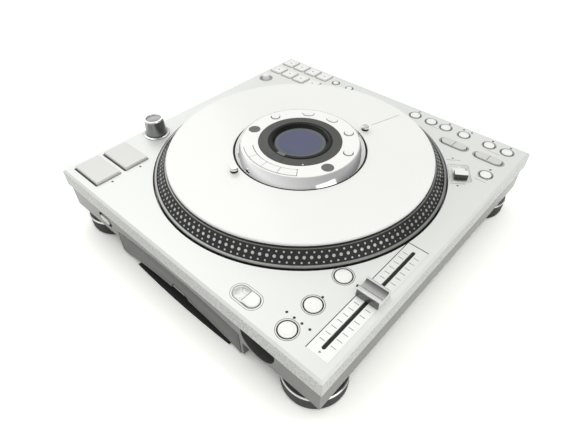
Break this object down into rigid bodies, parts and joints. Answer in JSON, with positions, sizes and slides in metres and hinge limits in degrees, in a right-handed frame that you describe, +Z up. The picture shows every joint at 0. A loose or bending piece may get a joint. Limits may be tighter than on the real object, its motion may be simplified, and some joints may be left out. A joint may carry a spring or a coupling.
{
  "type": "tabletop disc player",
  "caption": "Square tabletop player with a turning scratch platter round a fixed display, front disc tray, pitch fader and trigger pads.",
  "frame": {"origin": "on the table under the middle of the deck, level with the underside of the feet", "axes": "+Z up, +Y to the rear where the sockets are, +X to the right seen from the tray side"},
  "size_m": [0.332, 0.335, 0.0912],
  "materials": {
    "deck_metal": "satin",
    "case_plastic": "satin",
    "door_plastic": "satin",
    "cover_steel": "matte",
    "black_rubber": "matte",
    "bright_ring": "polished",
    "chrome": "polished",
    "hub_white": "gloss",
    "window": "gloss",
    "frame_steel": "plain",
    "board": "solder mask",
    "black_plastic": "fine texture",
    "platter_dark": "satin black",
    "dot_silver": "satin",
    "disc_white": "satin",
    "key_silver": "satin",
    "key_white": "gloss",
    "steel": "plain"
  },
  "bodies": {
    "deck": {"top_panel": "deck_metal", "lower_case": "case_plastic", "bottom_cover": "cover_steel", "feet": "black_rubber", "foot_rings": "bright_ring", "hub_housing": "hub_white", "hub_collar": "chrome", "display_window": "window", "drive_frame": "frame_steel", "circuit_boards": "board", "rear_sockets": "black_plastic", "screws": "steel"},
    "platter": {"platter": "platter_dark", "strobe_dots": "dot_silver", "platter_mat": "black_rubber", "scratch_disc": "disc_white", "disc_posts": "chrome"},
    "disc_tray": {"disc_tray": "black_plastic", "tray_door": "door_plastic"},
    "disc_spindle": {"disc_spindle": "steel"},
    "laser_sled": {"laser_sled": "black_plastic"},
    "tempo_fader": {"tempo_fader": "chrome"},
    "mode_slider": {"mode_slider": "key_white"},
    "search_lever": {"search_lever": "key_white"},
    "track_knob": {"track_knob": "chrome"},
    "level_knob": {"level_knob": "key_white"},
    "rocker_left": {"rocker_left": "key_white"},
    "rocker_right": {"rocker_right": "key_white"},
    "cue_button": {"cue_button": "key_silver"},
    "start_button": {"start_button": "key_silver"},
    "pad_1": {"pad_1": "key_white"},
    "pad_2": {"pad_2": "key_white"},
    "pad_3": {"pad_3": "key_white"},
    "pad_4": {"pad_4": "key_white"},
    "pad_5": {"pad_5": "key_white"},
    "pad_6": {"pad_6": "key_white"},
    "pad_7": {"pad_7": "key_white"},
    "pad_8": {"pad_8": "key_white"},
    "store_button": {"store_button": "key_white"},
    "bank_button": {"bank_button": "key_white"},
    "rear_button_1": {"rear_button_1": "key_white"},
    "rear_button_2": {"rear_button_2": "key_white"},
    "rear_button_3": {"rear_button_3": "key_white"},
    "rear_button_4": {"rear_button_4": "key_white"},
    "rear_button_5": {"rear_button_5": "key_white"},
    "rear_button_6": {"rear_button_6": "key_white"},
    "power_button": {"power_button": "key_white"},
    "reset_button": {"reset_button": "key_silver"},
    "lock_button": {"lock_button": "key_silver"},
    "range_button": {"range_button": "key_silver"},
    "hub_key_1": {"hub_key_1": "key_silver"},
    "hub_key_2": {"hub_key_2": "key_silver"},
    "hub_key_3": {"hub_key_3": "key_silver"},
    "hub_key_4": {"hub_key_4": "key_silver"},
    "hub_button_1": {"hub_button_1": "key_white"},
    "hub_button_2": {"hub_button_2": "key_white"},
    "hub_button_3": {"hub_button_3": "key_white"},
    "hub_button_4": {"hub_button_4": "key_white"},
    "hub_button_5": {"hub_button_5": "key_white"},
    "eject_button": {"eject_button": "bright_ring"}
  },
  "joints": [
    {"name": "platter_spin", "type": "hinge", "parent": "deck", "child": "platter", "pos_m": [-0.0025, 0.0015, 0.067], "axis": [0, 0, 1], "continuous": true},
    {"name": "tray_slide", "type": "slide", "parent": "deck", "child": "disc_tray", "axis": [0, -1, 0], "range_m": [0, 0.15]},
    {"name": "spindle_spin", "type": "hinge", "parent": "deck", "child": "disc_spindle", "pos_m": [-0.0025, -0.09, 0.02], "axis": [0, 0, 1], "continuous": true},
    {"name": "sled_slide", "type": "slide", "parent": "deck", "child": "laser_sled", "axis": [0, 1, 0], "range_m": [0, 0.032]},
    {"name": "tempo_slide", "type": "slide", "parent": "deck", "child": "tempo_fader", "axis": [0, 1, 0], "range_m": [-0.05, 0.05]},
    {"name": "mode_slide", "type": "slide", "parent": "deck", "child": "mode_slider", "axis": [-1, 0, 0], "range_m": [0, 0.008]},
    {"name": "search_rock", "type": "hinge", "parent": "deck", "child": "search_lever", "pos_m": [0.12738, 0.08845, 0.0605], "axis": [0.831, 0.5563, 0], "range_deg": [-8, 8], "stiffness_Nm_per_rad": 0.2},
    {"name": "track_turn", "type": "hinge", "parent": "deck", "child": "track_knob", "pos_m": [-0.1498, -0.0663, 0.067], "axis": [0, 0, 1], "continuous": true},
    {"name": "level_turn", "type": "hinge", "parent": "deck", "child": "level_knob", "pos_m": [-0.15, 0.1025, 0.067], "axis": [0, 0, 1], "range_deg": [-150, 150]},
    {"name": "rocker_left_rock", "type": "hinge", "parent": "deck", "child": "rocker_left", "pos_m": [0.1002, 0.1285, 0.0623], "axis": [0, 1, 0], "range_deg": [-3, 3], "stiffness_Nm_per_rad": 0.2},
    {"name": "rocker_right_rock", "type": "hinge", "parent": "deck", "child": "rocker_right", "pos_m": [0.1382, 0.1285, 0.0623], "axis": [0, 1, 0], "range_deg": [-3, 3], "stiffness_Nm_per_rad": 0.2},
    {"name": "cue_button_press", "type": "slide", "parent": "deck", "child": "cue_button", "axis": [0, 0, -1], "range_m": [0, 0.0007], "stiffness_N_per_m": 800},
    {"name": "start_button_press", "type": "slide", "parent": "deck", "child": "start_button", "axis": [0, 0, -1], "range_m": [0, 0.0007], "stiffness_N_per_m": 800},
    {"name": "pad_1_press", "type": "slide", "parent": "deck", "child": "pad_1", "axis": [0, 0, -1], "range_m": [0, 0.0007], "stiffness_N_per_m": 800},
    {"name": "pad_2_press", "type": "slide", "parent": "deck", "child": "pad_2", "axis": [0, 0, -1], "range_m": [0, 0.0007], "stiffness_N_per_m": 800},
    {"name": "pad_3_press", "type": "slide", "parent": "deck", "child": "pad_3", "axis": [0, 0, -1], "range_m": [0, 0.0007], "stiffness_N_per_m": 800},
    {"name": "pad_4_press", "type": "slide", "parent": "deck", "child": "pad_4", "axis": [0, 0, -1], "range_m": [0, 0.0007], "stiffness_N_per_m": 800},
    {"name": "pad_5_press", "type": "slide", "parent": "deck", "child": "pad_5", "axis": [0, 0, -1], "range_m": [0, 0.0007], "stiffness_N_per_m": 800},
    {"name": "pad_6_press", "type": "slide", "parent": "deck", "child": "pad_6", "axis": [0, 0, -1], "range_m": [0, 0.0007], "stiffness_N_per_m": 800},
    {"name": "pad_7_press", "type": "slide", "parent": "deck", "child": "pad_7", "axis": [0, 0, -1], "range_m": [0, 0.0007], "stiffness_N_per_m": 800},
    {"name": "pad_8_press", "type": "slide", "parent": "deck", "child": "pad_8", "axis": [0, 0, -1], "range_m": [0, 0.0007], "stiffness_N_per_m": 800},
    {"name": "store_button_press", "type": "slide", "parent": "deck", "child": "store_button", "axis": [0, 0, -1], "range_m": [0, 0.0007], "stiffness_N_per_m": 800},
    {"name": "bank_button_press", "type": "slide", "parent": "deck", "child": "bank_button", "axis": [0, 0, -1], "range_m": [0, 0.0007], "stiffness_N_per_m": 800},
    {"name": "rear_button_1_press", "type": "slide", "parent": "deck", "child": "rear_button_1", "axis": [0, 0, -1], "range_m": [0, 0.0007], "stiffness_N_per_m": 800},
    {"name": "rear_button_2_press", "type": "slide", "parent": "deck", "child": "rear_button_2", "axis": [0, 0, -1], "range_m": [0, 0.0007], "stiffness_N_per_m": 800},
    {"name": "rear_button_3_press", "type": "slide", "parent": "deck", "child": "rear_button_3", "axis": [0, 0, -1], "range_m": [0, 0.0007], "stiffness_N_per_m": 800},
    {"name": "rear_button_4_press", "type": "slide", "parent": "deck", "child": "rear_button_4", "axis": [0, 0, -1], "range_m": [0, 0.0007], "stiffness_N_per_m": 800},
    {"name": "rear_button_5_press", "type": "slide", "parent": "deck", "child": "rear_button_5", "axis": [0, 0, -1], "range_m": [0, 0.0007], "stiffness_N_per_m": 800},
    {"name": "rear_button_6_press", "type": "slide", "parent": "deck", "child": "rear_button_6", "axis": [0, 0, -1], "range_m": [0, 0.0007], "stiffness_N_per_m": 800},
    {"name": "power_button_press", "type": "slide", "parent": "deck", "child": "power_button", "axis": [0, 0, -1], "range_m": [0, 0.0007], "stiffness_N_per_m": 800},
    {"name": "reset_button_press", "type": "slide", "parent": "deck", "child": "reset_button", "axis": [0, 0, -1], "range_m": [0, 0.0007], "stiffness_N_per_m": 800},
    {"name": "lock_button_press", "type": "slide", "parent": "deck", "child": "lock_button", "axis": [0, 0, -1], "range_m": [0, 0.0007], "stiffness_N_per_m": 800},
    {"name": "range_button_press", "type": "slide", "parent": "deck", "child": "range_button", "axis": [0, 0, -1], "range_m": [0, 0.0007], "stiffness_N_per_m": 800},
    {"name": "hub_key_1_press", "type": "slide", "parent": "deck", "child": "hub_key_1", "axis": [0, 0, -1], "range_m": [0, 0.0007], "stiffness_N_per_m": 800},
    {"name": "hub_key_2_press", "type": "slide", "parent": "deck", "child": "hub_key_2", "axis": [0, 0, -1], "range_m": [0, 0.0007], "stiffness_N_per_m": 800},
    {"name": "hub_key_3_press", "type": "slide", "parent": "deck", "child": "hub_key_3", "axis": [0, 0, -1], "range_m": [0, 0.0007], "stiffness_N_per_m": 800},
    {"name": "hub_key_4_press", "type": "slide", "parent": "deck", "child": "hub_key_4", "axis": [0, 0, -1], "range_m": [0, 0.0007], "stiffness_N_per_m": 800},
    {"name": "hub_button_1_press", "type": "slide", "parent": "deck", "child": "hub_button_1", "axis": [0, 0, -1], "range_m": [0, 0.0007], "stiffness_N_per_m": 800},
    {"name": "hub_button_2_press", "type": "slide", "parent": "deck", "child": "hub_button_2", "axis": [0, 0, -1], "range_m": [0, 0.0007], "stiffness_N_per_m": 800},
    {"name": "hub_button_3_press", "type": "slide", "parent": "deck", "child": "hub_button_3", "axis": [0, 0, -1], "range_m": [0, 0.0007], "stiffness_N_per_m": 800},
    {"name": "hub_button_4_press", "type": "slide", "parent": "deck", "child": "hub_button_4", "axis": [0, 0, -1], "range_m": [0, 0.0007], "stiffness_N_per_m": 800},
    {"name": "hub_button_5_press", "type": "slide", "parent": "deck", "child": "hub_button_5", "axis": [0, 0, -1], "range_m": [0, 0.0007], "stiffness_N_per_m": 800},
    {"name": "eject_press", "type": "slide", "parent": "deck", "child": "eject_button", "axis": [0, 1, 0], "range_m": [0, 0.0015], "stiffness_N_per_m": 600}
  ]
}
